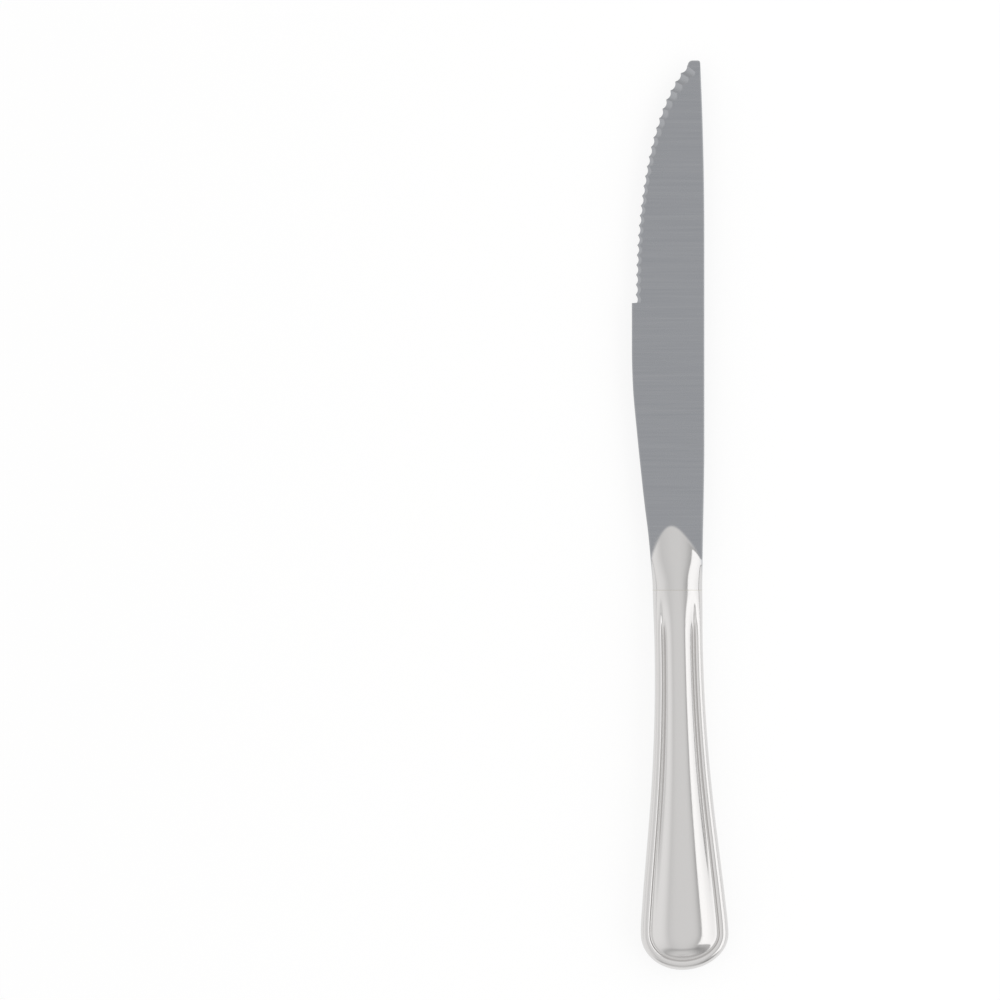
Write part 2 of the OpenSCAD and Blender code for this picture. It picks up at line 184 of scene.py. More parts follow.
# one closed mesh from points and triangles: equal points become one, and triangles that lose
# their area that way are dropped; values are numbers per point that the materials read
def makePiece(name, points, faces, values, material, nodeName):
    co = intoFrame(points)
    steps = np.round(co * weldSteps).astype(np.int64)
    first, number = np.unique(steps, axis=0, return_index=True, return_inverse=True)[1:]
    faces = number.reshape(-1)[faces]
    faces = faces[np.all(faces != np.roll(faces, 1, axis=1), axis=1)]
    mesh = bpy.data.meshes.new(name)
    mesh.vertices.add(len(first))
    mesh.vertices.foreach_set("co", co[first].astype(np.float32).ravel())
    mesh.loops.add(faces.size)
    mesh.loops.foreach_set("vertex_index", faces.astype(np.int32).ravel())
    mesh.polygons.add(len(faces))
    mesh.polygons.foreach_set("loop_start", np.arange(0, faces.size, 3, dtype=np.int32))
    mesh.update(calc_edges=True)
    mesh.validate()
    for attributeName, numbers in values.items():
        attribute = mesh.attributes.new(attributeName, "FLOAT", "POINT")
        attribute.data.foreach_set("value", np.asarray(numbers, np.float32).ravel()[first])
    mesh.shade_smooth()
    mesh.set_sharp_from_angle(angle=np.radians(sharpAngle))
    mesh.materials.append(material)
    piece = addObject(name, mesh)
    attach(piece, "root")
    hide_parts(nodeName)
    print("  ", name, len(faces), "triangles")


# Shader parts
mixColourA, mixColourB, mixColourOut = 6, 7, 2  # sockets of a Mix node that holds colours


# each input takes a value or another node's socket
def setInputs(tree, node, inputs):
    for key, value in inputs.items():
        if isinstance(value, bpy.types.NodeSocket):
            tree.links.new(value, node.inputs[key])
        else:
            node.inputs[key].default_value = value


def addNode(tree, kind, inputs=None, **settings):
    node = tree.nodes.new(kind)
    for key, value in settings.items():
        setattr(node, key, value)
    setInputs(tree, node, inputs or {})
    return node


def mathNode(tree, operation, a, b=0.0, clamp=False):
    return addNode(tree, "ShaderNodeMath", {0: a, 1: b}, operation=operation, use_clamp=clamp).outputs[0]


def minus(tree, a, b, clamp=False):
    return mathNode(tree, "SUBTRACT", a, b, clamp)


def times(tree, a, b):
    return mathNode(tree, "MULTIPLY", a, b)


# total + a * b for each pair
def addUp(tree, total, *pairs):
    for a, b in pairs:
        total = mathNode(tree, "ADD", total, times(tree, a, b))
    return total


def timesVector(tree, a, b):
    return addNode(tree, "ShaderNodeVectorMath", {0: a, 1: b}, operation="MULTIPLY").outputs[0]


# the vector turned about Z and then stretched to x, y and z repeats per metre
def stretchVector(tree, vector, turn, x, y, z):
    turned = addNode(tree, "ShaderNodeVectorRotate", {"Vector": vector, "Angle": turn},
                     rotation_type="Z_AXIS").outputs[0]
    return timesVector(tree, turned, addNode(tree, "ShaderNodeCombineXYZ", {0: x, 1: y, 2: z}).outputs[0])


def addNoise(tree, vector, **inputs):
    return addNode(tree, "ShaderNodeTexNoise", {"Vector": vector, **inputs}).outputs[0]


# the range from low to high spread over another one, and held inside it
def mapRange(tree, value, low, high, lowTo=0.0, highTo=1.0):
    inputs = {"Value": value, "From Min": low, "From Max": high, "To Min": lowTo, "To Max": highTo}
    return addNode(tree, "ShaderNodeMapRange", inputs).outputs[0]


# two colours mixed, each of them a value or a socket
def mixColour(tree, share, a, b):
    a, b = [end if isinstance(end, bpy.types.NodeSocket) else (*end, 1.0) for end in (a, b)]
    inputs = {"Factor": share, mixColourA: a, mixColourB: b}
    return addNode(tree, "ShaderNodeMix", inputs, data_type="RGBA").outputs[mixColourOut]


def readValue(tree, name):
    return addNode(tree, "ShaderNodeAttribute", attribute_name=name).outputs["Fac"]


# group that takes a vector and numbers, and gives numbers
def newGroup(name, numbersIn, numbersOut):
    group = bpy.data.node_groups.new(name, "ShaderNodeTree")
    group.interface.new_socket("Vector", in_out="INPUT", socket_type="NodeSocketVector")
    for socketName in numbersIn:
        group.interface.new_socket(socketName, in_out="INPUT", socket_type="NodeSocketFloat")
    for socketName in numbersOut:
        group.interface.new_socket(socketName, in_out="OUTPUT", socket_type="NodeSocketFloat")
    return group, addNode(group, "NodeGroupInput").outputs, addNode(group, "NodeGroupOutput")


def useGroup(tree, group, **inputs):
    node = tree.nodes.new("ShaderNodeGroup")
    node.node_tree = group
    setInputs(tree, node, inputs)
    return node.outputs


# empty material with its surface, and the place on the object as a vector
def newMaterial(name, metallic):
    material = bpy.data.materials.new(name)
    material.use_nodes = True
    tree = material.node_tree
    tree.nodes.clear()
    surface = addNode(tree, "ShaderNodeBsdfPrincipled", {"Metallic": metallic})
    addNode(tree, "ShaderNodeOutputMaterial", {"Surface": surface.outputs[0]})
    place = addNode(tree, "ShaderNodeTexCoord").outputs["Object"]
    return material, tree, surface, place


def dressSurface(tree, surface, colour, rough, height, finish):
    bump = addNode(tree, "ShaderNodeBump", {"Height": height, **finish["bump"]}).outputs[0]
    setInputs(tree, surface, {"Base Color": colour, "Roughness": rough, "Normal": bump})


scratchPattern = {
    "noise": {"Scale": 1.0, "Detail": 2.0},
    "middle": 0.5,
    "patches": {"Scale": 140.0, "Detail": 1.0},
    "patchRange": (0.48, 0.62),
}


# long thin scratches, 1 - |noise - middle| / thin in a stretched noise, kept in patches only
def makeScratchGroup():
    group, given, result = newGroup("hairScratches", ["Turn", "Along", "Across", "Thin"], ["Mask"])
    pattern = scratchPattern
    along = given["Along"]
    stretched = stretchVector(group, given["Vector"], given["Turn"], given["Across"], along, along)
    noise = addNoise(group, stretched, **pattern["noise"])
    off = mathNode(group, "ABSOLUTE", minus(group, noise, pattern["middle"]))
    line = minus(group, 1.0, mathNode(group, "DIVIDE", off, given["Thin"]), clamp=True)
    patches = addNoise(group, given["Vector"], **pattern["patches"])
    broken = mapRange(group, patches, *pattern["patchRange"])
    setInputs(group, result, {"Mask": times(group, line, broken)})
    return group


grainPattern = {
    "lines": {"Scale": 1.0, "Detail": 3.0, "Roughness": 0.65},
    "bands": {"Scale": 1.0, "Detail": 2.0},
    "bandShares": (0.5, 0.13, 0.5),  # repeats of the bands as shares of those of the lines
}


# parallel grinding lines: fine noise that is long one way and short the other, and wide bands of it
def makeGrainGroup():
    group, given, result = newGroup("grindLines", ["Turn", "Along", "Across"], ["Height", "Band"])
    pattern = grainPattern
    along = given["Along"]
    fine = stretchVector(group, given["Vector"], given["Turn"], along, given["Across"], along)
    lines = addNoise(group, fine, **pattern["lines"])
    bands = addNoise(group, timesVector(group, fine, pattern["bandShares"]), **pattern["bands"])
    setInputs(group, result, {"Height": lines, "Band": bands})
    return group


smudgePattern = {
    "noise": {"Detail": 4.0, "Distortion": 0.6},
    "range": (0.35, 0.7),
}


# soft uneven patches, as handling and washing leave on polished steel
def makeSmudgeGroup():
    group, given, result = newGroup("handledPatches", ["Size"], ["Mask"])
    noise = addNoise(group, given["Vector"], Scale=given["Size"], **smudgePattern["noise"])
    setInputs(group, result, {"Mask": mapRange(group, noise, *smudgePattern["range"])})
    return group


scratchGroup = makeScratchGroup()
grainGroup = makeGrainGroup()
smudgeGroup = makeSmudgeGroup()

# The materials' scales are repeats per metre, and their depths are metres
handleFinish = {
    "steel": (0.70, 0.69, 0.685),
    # darker colour in the groove: painted shade, partly polishing residue
    "grooveSteel": (0.60, 0.59, 0.58),
    # lighter colour on the crest: wear, partly a painted highlight
    "wornAndHighlightSteel": (0.80, 0.79, 0.785),
    "grooveShade": 0.55,  # share of the groove's darker colour (painted shade) where it is clean
    "smudgedShade": 0.45,  # share added where it is smudged (polishing residue)
    "wearAndHighlightShare": 0.6,
    "roughness": 0.09,
    "smudgeRoughness": 0.07,
    "scratchRoughness": 0.12,
    "grooveRoughness": 0.15,
    "smudgeScale": 55.0,
    "longScratches": {"Turn": 0.12, "Along": 14.0, "Across": 800.0, "Thin": 0.008},
    "shortScratches": {"Turn": 0.9, "Along": 30.0, "Across": 900.0, "Thin": 0.005},
    "bump": {"Strength": 0.22, "Distance": 0.000006},
}


def makeHandleSteel():
    material, tree, surface, place = newMaterial("handlePolishedSteel", 1.0)
    finish = handleFinish
    longOnes = useGroup(tree, scratchGroup, Vector=place, **finish["longScratches"])["Mask"]
    shortOnes = useGroup(tree, scratchGroup, Vector=place, **finish["shortScratches"])["Mask"]
    scratches = mathNode(tree, "MAXIMUM", longOnes, shortOnes)
    smudge = useGroup(tree, smudgeGroup, Vector=place, Size=finish["smudgeScale"])["Mask"]
    groove, wornAndLit = [readValue(tree, name) for name in ("grooveDepth", "edgeWearAndHighlight")]
    # darker groove: painted shade, partly polishing residue where smudged
    dull = times(tree, groove, addUp(tree, finish["grooveShade"], (smudge, finish["smudgedShade"])))
    colour = mixColour(tree, dull, finish["steel"], finish["grooveSteel"])
    # the crest is lightened: wear, partly a painted highlight
    colour = mixColour(tree, times(tree, wornAndLit, finish["wearAndHighlightShare"]), colour, finish["wornAndHighlightSteel"])
    rough = addUp(tree, finish["roughness"], (smudge, finish["smudgeRoughness"]),
                  (scratches, finish["scratchRoughness"]), (groove, finish["grooveRoughness"]))
    dressSurface(tree, surface, colour, rough, minus(tree, 1.0, scratches), finish)
    return material


bladeFinish = {
    "steel": (0.319, 0.331, 0.355),
    "bolsterSteel": (0.68, 0.672, 0.668),
    "fluteSteel": (0.39, 0.40, 0.42),
    # lighter colour on the rounded edges (wear, partly a painted highlight); the grinding lines shade
    # towards it too
    "wornAndHighlightSteel": (0.78, 0.78, 0.78),
    "noiseRange": (0.3, 0.7),  # values of the noises that the shades run between
    "bandShade": 0.05,
    "lineShade": 0.08,
    "wearAndHighlightShare": 0.2,
    "roughness": 0.2,
    "bandRoughness": 0.08,
    "smudgeRoughness": 0.05,
    "scratchRoughness": 0.1,
    "bolsterRoughness": 0.09,
    "smudgeScale": 40.0,
    "lines": {"Turn": 0.0, "Along": 60.0, "Across": 9000.0},
    "fluteLines": {"Turn": 0.25, "Along": 150.0, "Across": 9000.0},
    "scratches": {"Turn": 0.2, "Along": 14.0, "Across": 700.0, "Thin": 0.005},
    "scratchDepth": 0.5,  # share of the lines' depth
    "bump": {"Strength": 0.2, "Distance": 0.00001},
}


def makeBladeSteel():
    material, tree, surface, place = newMaterial("bladeGroundSteel", 1.0)
    finish = bladeFinish
    lines = useGroup(tree, grainGroup, Vector=place, **finish["lines"])
    fluteLines = useGroup(tree, grainGroup, Vector=place, **finish["fluteLines"])
    scratches = useGroup(tree, scratchGroup, Vector=place, **finish["scratches"])["Mask"]
    smudge = useGroup(tree, smudgeGroup, Vector=place, Size=finish["smudgeScale"])["Mask"]
    bolster, flute, wornAndLit = [readValue(tree, name) for name in ("bolsterShare", "fluteShare", "edgeWearAndHighlight")]
    ground = minus(tree, 1.0, bolster)
    low, high = finish["noiseRange"]
    shade = mathNode(tree, "ADD", mapRange(tree, lines["Band"], low, high, highTo=finish["bandShade"]),
                     mapRange(tree, lines["Height"], low, high, highTo=finish["lineShade"]))
    colour = mixColour(tree, shade, finish["steel"], finish["wornAndHighlightSteel"])
    colour = mixColour(tree, flute, colour, finish["fluteSteel"])
    colour = mixColour(tree, bolster, colour, finish["bolsterSteel"])
    # rounded edges lightened: wear, partly a painted highlight
    colour = mixColour(tree, times(tree, wornAndLit, finish["wearAndHighlightShare"]), colour, finish["wornAndHighlightSteel"])
    rough = addUp(tree, finish["roughness"], (lines["Band"], finish["bandRoughness"]),
                  (smudge, finish["smudgeRoughness"]))
    rough = addUp(tree, times(tree, rough, ground), (bolster, finish["bolsterRoughness"]),
                  (scratches, finish["scratchRoughness"]))
    height = addUp(tree, times(tree, lines["Height"], ground), (fluteLines["Height"], flute))
    height = minus(tree, height, times(tree, scratches, finish["scratchDepth"]))
    dressSurface(tree, surface, colour, rough, height, finish)
    return material


# two colours mixed by a noise; roughness and height follow it, or the grains that some have
def makeMottled(name, metallic, finish):
    material, tree, surface, place = newMaterial(name, metallic)
    clouds = addNoise(tree, place, **finish["clouds"])
    grains = clouds
    if "grainScale" in finish:
        inputs = {"Vector": place, "Scale": finish["grainScale"]}
        grains = addNode(tree, "ShaderNodeTexVoronoi", inputs).outputs["Distance"]
    colour = mixColour(tree, clouds, finish["dark"], finish["pale"])
    rough = addUp(tree, finish["roughness"], (grains, finish["grainRoughness"]))
    dressSurface(tree, surface, colour, rough, grains, finish)
    return material


brazeFinish = {
    "dark": (0.50, 0.48, 0.42),
    "pale": (0.62, 0.60, 0.54),
    "clouds": {"Scale": 900.0, "Detail": 3.0},
    "roughness": 0.25,
    "grainRoughness": 0.2,
    "bump": {"Strength": 0.3, "Distance": 0.00002},
}
cementFinish = {
    "dark": (0.52, 0.45, 0.35),
    "pale": (0.70, 0.63, 0.52),
    "clouds": {"Scale": 160.0, "Detail": 5.0},
    "grainScale": 1400.0,
    "roughness": 0.75,
    "grainRoughness": 0.2,
    "bump": {"Strength": 0.5, "Distance": 0.0001},
}
handleSteel = makeHandleSteel()
bladeSteel = makeBladeSteel()
brazeMetal = makeMottled("silverBraze", 1.0, brazeFinish)
cementMaterial = makeMottled("filledCement", 0.0, cementFinish)
print("stage 2: materials made")

# Handle shells
handle = {
    # narrowing from the widest place to the neck: [share of the way, share of the swell left]
    "swellShares": [[0, 1], [0.12, 0.87], [0.28, 0.63], [0.44, 0.39], [0.6, 0.2], [0.8, 0.05], [1, 0]],
    "thicknessShares": [[0, 0.94], [0.16, 1], [0.45, 0.66], [0.75, 0.2], [1, 0]],
    "buttBorderThickness": 5.4,
    "neckBorderThickness": 4.9,
    "buttBorder": 2.9,  # width of the raised border
    "neckBorder": 2.4,
    "grooveDepth": 0.5,
    "borderFade": 13.0,  # length over which the border grows out of the plain oval
    "crestShare": 0.66,  # place of the border's crest in its width
    "borderPower": 2.4,
    # the border's inner slope: [share of the way in, share of the groove's depth]
    "slopeShares": [[0, 0], [0.3, 0.22], [0.62, 0.78], [0.85, 1], [1, 1]],
    "panelPower": 3.4,
    "panelSoftShare": 0.06,  # share of the panel that rounds out of the groove
    "wall": 0.85,
    "turnRows": 6,  # rows to each side that the inward direction is averaged over
    "sideSteps": 120,
    "buttSteps": 72,
    "borderRows": 14,
    "slopeRows": 12,
    "panelRows": 24,
    "panelRowPower": 1.5,  # brings the rows closer together near the groove
    "darkShare": 0.97,  # place of the dull line in the border's width: painted shade in the groove, partly polishing residue
    "darkWidth": 0.16,
    "wearAndHighlightWidth": 0.35,  # width of the bright mark on the crest: wear, partly a painted highlight
}


# a at the neck and past it, b at the widest place, after the table's shares in between
def towardsButt(rows, a, b, y):
    return a + (b - a) * smoothCurve(rows, (np.minimum(y, neckY) - widestY) / (neckY - widestY))


# the handle leans evenly, from nought at the mouth to the whole offset at the butt
def handleAxis(y):
    return knife["buttOffset"] * (mouthY - y) / mouthY


# width or thickness of the handle at y: swollen at the butt, and again a little at the mouth
def swollenSize(rows, name, y):
    neck, butt, mouth = [knife[place + name] for place in ("neck", "butt", "mouth")]
    return towardsButt(rows, neck, butt, y) + (mouth - neck) * ease((y - neckY) / knife["neckBack"])


# half the width, and half the thickness of panel and border over the seam's film
def halfWidth(y):
    return swollenSize(handle["swellShares"], "Width", y) / 2


def panelHeight(y):
    return swollenSize(handle["thicknessShares"], "Thickness", y) / 2 - seamHalf


def borderHeight(y):
    a, b = handle["neckBorderThickness"], handle["buttBorderThickness"]
    return towardsButt(handle["thicknessShares"], a, b, y) / 2 - seamHalf


def borderWidth(y):
    return towardsButt(handle["swellShares"], handle["neckBorder"], handle["buttBorder"], y)


# The handle's outline as stations from the mouth down the spine side, round the butt and back up:
# a side station is (axis +- half width, y); the end is (W sin a, widest - R cos a), turned a
# little so that it stays square to the leaning axis. Returns outline, centre and place per station.
def handleStations():
    count = handle["sideSteps"]
    y = mouthY + (widestY - mouthY) * np.arange(count) / count
    a = np.radians(90 - 180 * np.arange(handle["buttSteps"] + 1) / handle["buttSteps"])
    w = halfWidth(widestY)
    lean = knife["buttOffset"] / mouthY
    endX = handleAxis(widestY) + w * np.sin(a)
    endY = widestY - knife["buttRound"] * np.cos(a) + lean * w * np.sin(2 * a)
    axis, half = handleAxis(y), halfWidth(y)
    right = np.stack([axis + half, y], -1)
    left = np.stack([axis - half, y], -1)[::-1]
    outline = join(right, np.stack([endX, endY], -1), left)
    centreSide = np.stack([axis, y], -1)
    centreEnd = np.tile([[handleAxis(widestY), widestY]], (len(a), 1))
    centre = join(centreSide, centreEnd, centreSide[::-1])
    return outline, centre, centre[:, 1]


# Section of the handle at each station, from the seam in to the centre: the border is a rounded
# quarter oval, (crest (1 - cos^k a), rim sin^k a) with k = 2 / power, its inner slope follows the
# slope table down to the groove, and the panel is groove + (panel - groove)(1 - (1 - s)^p), where s
# is the share of the way to the centre, rounded where it starts. Towards the mouth all of it fades
# to the oval H sqrt(1 - (1 - w/reach)^2).
def handleSection(outline, centre, y):
    reach = fanReach(outline, centre)
    border = borderWidth(y)[:, None]
    crest = border * handle["crestShare"]
    rim = borderHeight(y)[:, None]
    panel = panelHeight(y)[:, None]
    groove = rim - handle["grooveDepth"]
    a = np.radians(90 * np.arange(handle["borderRows"]) / handle["borderRows"])[None]
    s = (np.arange(handle["slopeRows"]) / handle["slopeRows"])[None]
    p = (np.arange(handle["panelRows"] + 1) / handle["panelRows"])[None] ** handle["panelRowPower"]
    k = 2 / handle["borderPower"]
    inset = join(crest * (1 - np.cos(a) ** k), crest + (border - crest) * s,
                 border + (reach - border) * p, axis=1)
    soft = handle["panelSoftShare"]
    rise = (np.sqrt(p**2 + soft**2) - soft) / (np.sqrt(1 + soft**2) - soft)
    slope = rim - handle["grooveDepth"] * smoothCurve(handle["slopeShares"], s)
    dome = groove + (panel - groove) * (1 - (1 - rise) ** handle["panelPower"])
    height = join(rim * np.sin(a) ** k, slope, dome, axis=1)
    shown = ease((mouthY - y) / handle["borderFade"])[:, None]
    oval = panel * np.sqrt(np.maximum(0, 1 - (1 - inset / reach) ** 2))
    return inset, shown * height + (1 - shown) * oval, reach, shown


# Direction into the metal at each row: square to the line from some rows before it to as many
# after it, level at the seam and straight down at the centre
def inwardRows(inset, height):
    row = np.arange(inset.shape[1])
    k = np.clip(np.minimum(row, row[::-1]), 1, handle["turnRows"])
    before, after = np.maximum(row - k, 0), np.minimum(row + k, row[-1])
    run, rise = inset[:, after] - inset[:, before], height[:, after] - height[:, before]
    length = np.hypot(run, rise)
    inwardX, inwardZ = rise / length, -run / length
    inwardX[:, 0], inwardZ[:, 0] = 1.0, 0.0
    inwardX[:, -1], inwardZ[:, -1] = 0.0, -1.0
    return inwardX, inwardZ


# A shell is a fan of sections from the outline to the centre line. Its inner side is the outer one
# moved into the metal by the wall, and strips join the two along the seam and at the mouth. The
# other shell is its mirror image.
def makeShells():
    outline, centre, y = handleStations()
    inset, height, reach, shown = handleSection(outline, centre, y)
    inwardX, inwardZ = inwardRows(inset, height)
    wall = handle["wall"]
    outer = withHeight(fanPoints(outline, centre, inset, reach), height + seamHalf)
    innerFlat = fanPoints(outline, centre, inset + wall * inwardX, reach)
    inner = withHeight(innerFlat, height + wall * inwardZ + seamHalf)
    border = borderWidth(y)[:, None]
    # the dull line along the groove's floor: painted shade, partly polishing residue
    grooveDepth = shown * bell(inset, border * handle["darkShare"], handle["darkWidth"])
    # the bright mark on the border's crest: wear, partly a painted highlight
    edgeWearAndHighlight = shown * bell(inset, border * handle["crestShare"], handle["wearAndHighlightWidth"])
    number, under = gridPair(*inset.shape)
    seam = np.stack([number[:, 0], under[:, 0]], 1)
    faces = join(gridFaces(number, flip=True), gridFaces(under), gridFaces(seam), endFaces(number, under))
    values = {"grooveDepth": join(grooveDepth, 0 * grooveDepth), "edgeWearAndHighlight": join(edgeWearAndHighlight, 0 * edgeWearAndHighlight)}
    points = join(outer, inner)
    makePiece("handleLeftShell", points, faces, values, handleSteel, "handle_left_shell")
    points = points * [1, 1, -1]
    faces = faces[:, ::-1]
    makePiece("handleRightShell", points, faces, values, handleSteel, "handle_right_shell")


braze = {
    "seamRows": 5,
    "seamHollow": 0.03,  # depth of the hollow in the seam's braze
    "mouthSides": 128,
    "levelDecimals": 6,  # decimals to which the ends of the mouth's oval count as level
}


# Band of braze in the seam: its outer edge is hollow, h (1 - (z / seam half)^2) in from the outline
def makeSeamBraze():
    outline, centre = handleStations()[:2]
    inwards = (centre - outline) / fanReach(outline, centre)
    level = np.linspace(1, -1, braze["seamRows"])
    inset = join(braze["seamHollow"] * (1 - level**2), [handle["wall"]] * 2)
    level = join(level, [-1, 1]) * seamHalf
    flat = outline[:, None] + inwards[:, None] * inset[None, :, None]
    rings = join(flat, np.broadcast_to(level[None, :, None], flat.shape[:2] + (1,)), axis=-1)
    points, faces = ringFaces(rings[::-1], closed=False)
    makePiece("seamBraze", points, faces, {}, brazeMetal, "seam_braze")


# Ring of braze at the mouth: the shells' oval, (W cos a, H sin a) apart by the seam, and the same
# oval a wall's thickness further in
def makeShoulderBraze():
    a = np.radians(np.linspace(0, 360, braze["mouthSides"], endpoint=False))
    halves = np.array([knife["mouthWidth"], knife["mouthThickness"] - knife["seamFilm"]]) / 2
    depth = np.array([0, 0, handle["wall"], handle["wall"]])[:, None]
    side = np.sign(np.round(np.sin(a), braze["levelDecimals"]))
    x = (halves[0] - depth) * np.cos(a)
    z = (halves[1] - depth) * np.sin(a) + side * seamHalf
    y = np.array([mouthY, shoulderY, shoulderY, mouthY])[:, None] + 0 * x
    points, faces = ringFaces(np.stack([x, y, z], -1), closed=True)
    makePiece("shoulderBraze", points, faces, {}, brazeMetal, "shoulder_braze")


makeShells()
makeSeamBraze()
makeShoulderBraze()
print("stage 3: handle shells and their braze made")

# Blade and bolster
blade = {
    "spineReach": 6.97,  # from the mouth's centre line to the straight spine
    "heelRise": 63.5,  # from the mouth to the deepest place of the heel
    "heelShares": [[0, 0], [0.11, 0.08], [0.23, 0.21], [0.36, 0.4], [0.5, 0.58], [0.65, 0.76], [0.82, 0.94],
                   [1, 1]],
    "spineRise": 38.0,
    "spineFall": 46.0,
    "spineDrop": 1.1,
    "tipWidth": 3.2,
    "tipEdgeRadius": 1.2,
    "tipSpineRadius": 0.6,
    "spineThickness": 2.4,
    "tipThickness": 1.5,
    "edgeThickness": 0.75,
    "serrationStart": 74.6,  # from the mouth to the step at the end of the plain heel
    "firstScallop": 0.85,
    "stepHalf": 0.05,  # half of that step's own length
    "toothSetback": 1.02,
    "toothPitch": 2.57,
    "toothDepth": 0.5,
    "toothLand": 0.12,
    "lastToothShare": 0.33,
    "fluteAngle": 25.0,
    "fluteRim": 0.02,  # height by which a flute's colour passes its rim
    "pastFlute": 0.2,  # least room between a flute's end and the centre line
    "centreLean": 0.8,  # share of the belly's slope that the rows lean by
    "bellyPower": 2.16,
    "bellyLengthShare": 1.043,
    "bolsterThicknessShares": [[0, 1], [0.12, 0.97], [0.35, 0.66], [0.6, 0.34], [0.8, 0.2], [1, 0.1]],
    "bolsterCollar": 6.5,  # length over which the bolster keeps the handle's outline
    "bolsterFade": 15.0,
    "bolsterEndShare": 0.45,
    "hiddenEnd": 4.0,  # over which its end dies away inside the blade
    "bolsterRim": 0.85,  # width of the change from polished bolster to ground blade
    "polishedLength": 2.0,  # from the mouth, where all is polished
    "groundLength": 9.0,  # over which the ground blade grows inside the bolster
    "plungeFillet": 0.5,
    "filletLimits": (0.1, 0.8),
    "slopeStep": 0.05,
    "leastSlope": 0.1,
    "heelRadius": 0.15,
    "spineRadius": 0.22,
    "wallShares": [0, 0.5],  # rows on the wall, as shares of its height
    "cornerSteps": 6,
    "pastCorner": 1.05,  # least inset of the next rows, as a share of the radius
    "nearRows": [0.45, 0.62, 0.8, 1.0, 1.25, 1.5, 1.8, 2.1, 2.5, 2.9, 3.4],
    "nearLimit": 0.8,  # most of the reach that the near rows take
    "farShares": [0.12, 0.26, 0.42, 0.6, 0.8, 1.0],
    "rowChange": 4.0,  # over which the rows change from even to near and far
    "wearAndHighlightPlace": 0.6,  # place and width of the lighter mark on a corner (wear, partly a painted highlight), as shares of its radius
    "wearAndHighlightWidth": 0.7,
    "bolsterStations": 90,
    "heelStations": 60,
    "toothSteps": 18,
    "endSteps": 5,
    "tipSteps": 10,
    "topSteps": 4,
    "downSteps": 7,
}
toothStartY = mouthY + blade["serrationStart"]
tipCornerY = tipY - blade["tipEdgeRadius"]
mouthHalf = knife["mouthWidth"] / 2
collar, fade = blade["bolsterCollar"], blade["bolsterFade"]
plainKind, bellyKind, fluteKind = 0, 1, 2  # what a station of the edge lies on


# the spine rises from half the mouth's width to its full reach, less drop (1 - way to the tip / fall)^2
def spineX(y):
    risen = mouthHalf + (blade["spineReach"] - mouthHalf) * ease((y - mouthY) / blade["spineRise"])
    return risen - blade["spineDrop"] * np.maximum(0, 1 - (tipY - y) / blade["spineFall"]) ** 2


# the plain edge runs from half the mouth's width to the heel's reach after the table of shares
def plainEdgeX(y):
    share = smoothCurve(blade["heelShares"], (y - mouthY) / blade["heelRise"])
    return -mouthHalf - (knife["heelReach"] - mouthHalf) * share


# belly curve of the tooth points: x = x0 + depth (1 - (1 - u^p)^(1/p)), u the share of its length
bellyLength = (tipY - toothStartY) * blade["bellyLengthShare"]
bellyPower = blade["bellyPower"]


def bellyShare(y):
    return np.clip((y - toothStartY) / bellyLength, 0, 1)


def bellyRise(y):
    u = bellyShare(y)
    return 1 - (1 - u**bellyPower) ** (1 / bellyPower)


toothX = blade["toothSetback"] - knife["heelReach"]
tipCornerX = spineX(tipY) - blade["tipWidth"]
bellyDepth = (tipCornerX - toothX) / bellyRise(tipCornerY)


def bellyX(y):
    return toothX + bellyDepth * bellyRise(y)


# its slope: depth / length u^(p - 1) (1 - u^p)^(1/p - 1)
def bellySlope(y):
    u = bellyShare(y)
    return bellyDepth / bellyLength * u ** (bellyPower - 1) * (1 - u**bellyPower) ** (1 / bellyPower - 1)


# half thickness of the flat-ground blade: it falls evenly from spine to edge and from bolster to tip
bladeDepth = blade["spineReach"] + knife["heelReach"]
sideFall = (blade["spineThickness"] - blade["edgeThickness"]) / 2 / bladeDepth
tipFall = (blade["spineThickness"] - blade["tipThickness"]) / 2 / (tipY - shoulderY)


def groundHeight(x, y):
    return blade["spineThickness"] / 2 - sideFall * (blade["spineReach"] - x) - tipFall * (y - shoulderY)


# a flute's notch at a distance q from its middle: depth - (r - sqrt(r^2 - q^2)) / sin(angle)
fluteSin = np.sin(np.radians(blade["fluteAngle"]))
fluteTan = np.tan(np.radians(blade["fluteAngle"]))
fluteSag = blade["toothDepth"] * fluteSin
fluteChord = blade["toothPitch"] - blade["toothLand"]
fluteRadius = (fluteChord**2 / 4 + fluteSag**2) / (2 * fluteSag)


def notchDepth(q):
    return blade["toothDepth"] - (fluteRadius - np.sqrt(fluteRadius**2 - q**2)) / fluteSin


# places of the scallops, one pitch apart along the belly
def scallopPlaces():
    places, y = [], toothStartY + blade["firstScallop"]
    while y <= tipCornerY - blade["toothPitch"] * blade["lastToothShare"]:
        places.append(y)
        y += blade["toothPitch"] * np.cos(np.arctan(bellySlope(y)))
    return np.array(places)


